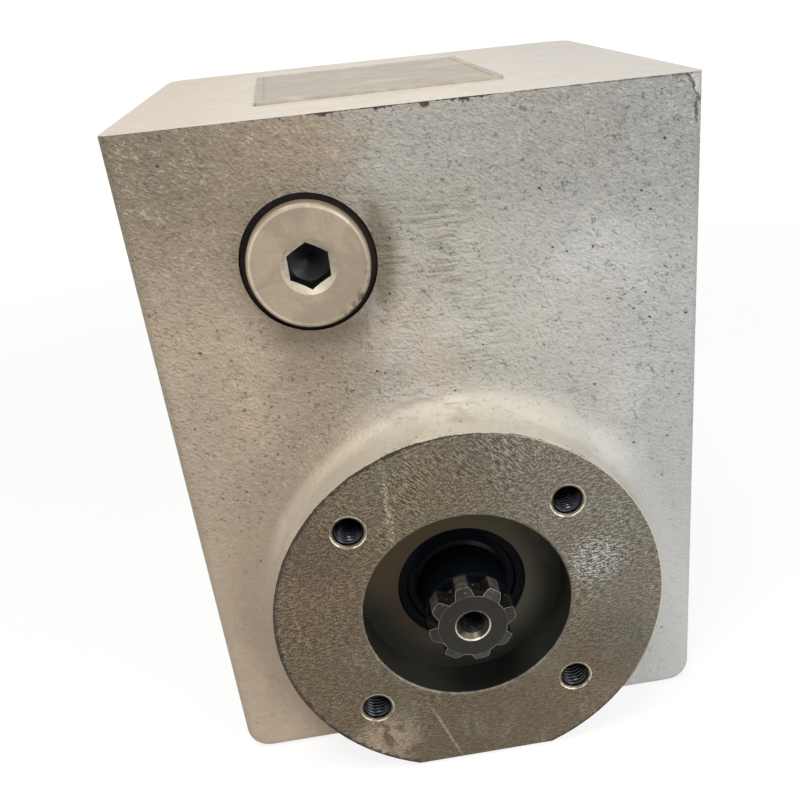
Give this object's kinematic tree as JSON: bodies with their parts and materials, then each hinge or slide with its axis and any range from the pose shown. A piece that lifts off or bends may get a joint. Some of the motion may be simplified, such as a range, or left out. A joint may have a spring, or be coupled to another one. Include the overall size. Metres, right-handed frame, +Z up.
{
  "type": "worm gearbox with motor flange",
  "caption": "Right-angle worm gearbox in a boxy cast housing: a round motor flange with a splined input shaft low on the front, a keyed hollow output shaft across it, and socket-head oil plugs.",
  "frame": {"origin": "centre of the motor pilot in the face of the motor flange, on the worm axis", "axes": "+Y into the housing along the worm shaft, +X along the output shaft, +Z up from the base"},
  "size_m": [0.1458, 0.1907, 0.1878],
  "materials": {
    "housing_paint": "cream grey paint over a rough casting, with bare machined faces",
    "cover_paint": "cream grey paint, smooth",
    "shaft_steel": "dark oiled steel",
    "ground_steel": "turned and ground steel",
    "bronze": "machined bronze",
    "hub_iron": "machined cast iron",
    "seal_rubber": "black moulded rubber",
    "filler_seal_rubber": "black sealing ring",
    "spring_steel": "spring steel",
    "gasket_paper": "gasket paper",
    "screw_steel": "blackened steel",
    "plug_metal": "plated steel, slightly yellow",
    "rear_plug_metal": "plated steel, slightly yellow",
    "copper": "soft copper",
    "plate_metal": "matt metal plate",
    "bearing_steel": "ground bearing steel",
    "ball_steel": "polished balls",
    "cage_brass": "machined brass"
  },
  "bodies": {
    "gearbox": {"data_plate": "plate_metal", "drain_plug": "rear_plug_metal", "drain_plug_washer": "copper", "front_bearing_outer_ring": "bearing_steel", "housing": "housing_paint", "input_seal": "seal_rubber", "input_seal_spring": "spring_steel", "left_bearing_outer_ring": "bearing_steel", "left_cover": "cover_paint", "left_cover_gasket": "gasket_paper", "left_cover_screws": "screw_steel", "left_output_seal": "seal_rubber", "left_output_seal_spring": "spring_steel", "oil_filler_plug": "plug_metal", "oil_filler_seal": "filler_seal_rubber", "oil_level_plug": "rear_plug_metal", "oil_level_plug_washer": "copper", "rear_bearing_outer_ring": "bearing_steel", "rear_bearing_shim": "spring_steel", "rear_cover": "cover_paint", "rear_cover_gasket": "gasket_paper", "rear_cover_screws": "screw_steel", "right_bearing_outer_ring": "bearing_steel", "right_cover": "cover_paint", "right_cover_gasket": "gasket_paper", "right_cover_screws": "screw_steel", "right_output_seal": "seal_rubber", "right_output_seal_spring": "spring_steel"},
    "worm": {"worm_shaft": "shaft_steel", "worm_retaining_ring": "spring_steel", "front_bearing_inner_ring": "bearing_steel", "rear_bearing_inner_ring": "bearing_steel"},
    "output": {"output_shaft": "ground_steel", "worm_wheel_rim": "bronze", "worm_wheel_hub": "hub_iron", "wheel_key": "ground_steel", "rim_lock_pins": "screw_steel", "left_spacer_sleeve": "ground_steel", "right_spacer_sleeve": "ground_steel", "left_bearing_inner_ring": "bearing_steel", "right_bearing_inner_ring": "bearing_steel"},
    "front_ball_set": {"front_bearing_balls": "ball_steel", "front_bearing_cage": "cage_brass"},
    "rear_ball_set": {"rear_bearing_balls": "ball_steel", "rear_bearing_cage": "cage_brass"},
    "left_ball_set": {"left_bearing_balls": "ball_steel", "left_bearing_cage": "cage_brass"},
    "right_ball_set": {"right_bearing_balls": "ball_steel", "right_bearing_cage": "cage_brass"}
  },
  "joints": [
    {"name": "output_spin", "type": "hinge", "parent": "gearbox", "child": "output", "pos_m": [0, 0.0945, 0.0625], "axis": [1, 0, 0], "continuous": true},
    {"name": "worm_spin", "type": "hinge", "parent": "gearbox", "child": "worm", "pos_m": [0, 0, 0], "axis": [0, 1, 0], "continuous": true},
    {"name": "front_balls_roll", "type": "hinge", "parent": "gearbox", "child": "front_ball_set", "pos_m": [0, 0, 0], "axis": [0, 1, 0], "continuous": true},
    {"name": "rear_balls_roll", "type": "hinge", "parent": "gearbox", "child": "rear_ball_set", "pos_m": [0, 0, 0], "axis": [0, 1, 0], "continuous": true},
    {"name": "left_balls_roll", "type": "hinge", "parent": "gearbox", "child": "left_ball_set", "pos_m": [0, 0.0945, 0.0625], "axis": [1, 0, 0], "continuous": true},
    {"name": "right_balls_roll", "type": "hinge", "parent": "gearbox", "child": "right_ball_set", "pos_m": [0, 0.0945, 0.0625], "axis": [1, 0, 0], "continuous": true}
  ],
  "couplings": [
    {"joint": "worm_spin", "follows": "output_spin", "ratio": -19},
    {"joint": "front_balls_roll", "follows": "output_spin", "ratio": -7.5506},
    {"joint": "rear_balls_roll", "follows": "output_spin", "ratio": -7.5506},
    {"joint": "left_balls_roll", "follows": "output_spin", "ratio": 0.4275},
    {"joint": "right_balls_roll", "follows": "output_spin", "ratio": 0.4275}
  ]
}
